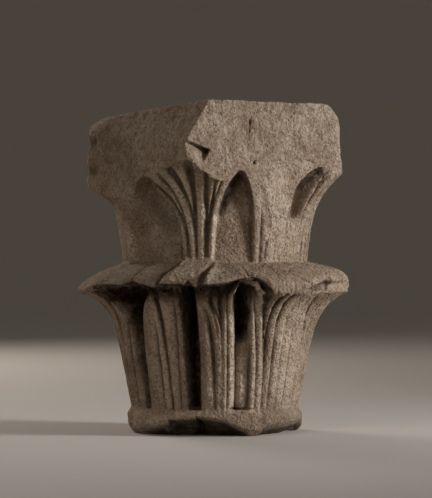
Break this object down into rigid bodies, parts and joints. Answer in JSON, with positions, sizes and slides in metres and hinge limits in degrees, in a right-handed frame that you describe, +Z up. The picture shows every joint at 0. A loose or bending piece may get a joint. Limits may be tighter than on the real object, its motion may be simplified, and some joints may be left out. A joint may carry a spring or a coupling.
{
  "type": "gothic capital",
  "caption": "Weathered limestone capital: a round bell with tiers of fan-ribbed leaves and arched hollows under a broken square abacus, to sit on a round shaft and carry a load.",
  "frame": {"origin": "on the column's axis, at the lower bed that sits on the shaft", "axes": "+Z up along the column's axis; the abacus faces are square to X and Y, and the two faces shown in the picture look towards -X and -Y"},
  "size_m": [0.29, 0.2893, 0.352],
  "materials": {
    "limestone": "weathered, chisel-dressed warm grey limestone with rough fracture faces and brown soiling"
  },
  "bodies": {
    "root": {"capital": "limestone"}
  },
  "joints": []
}
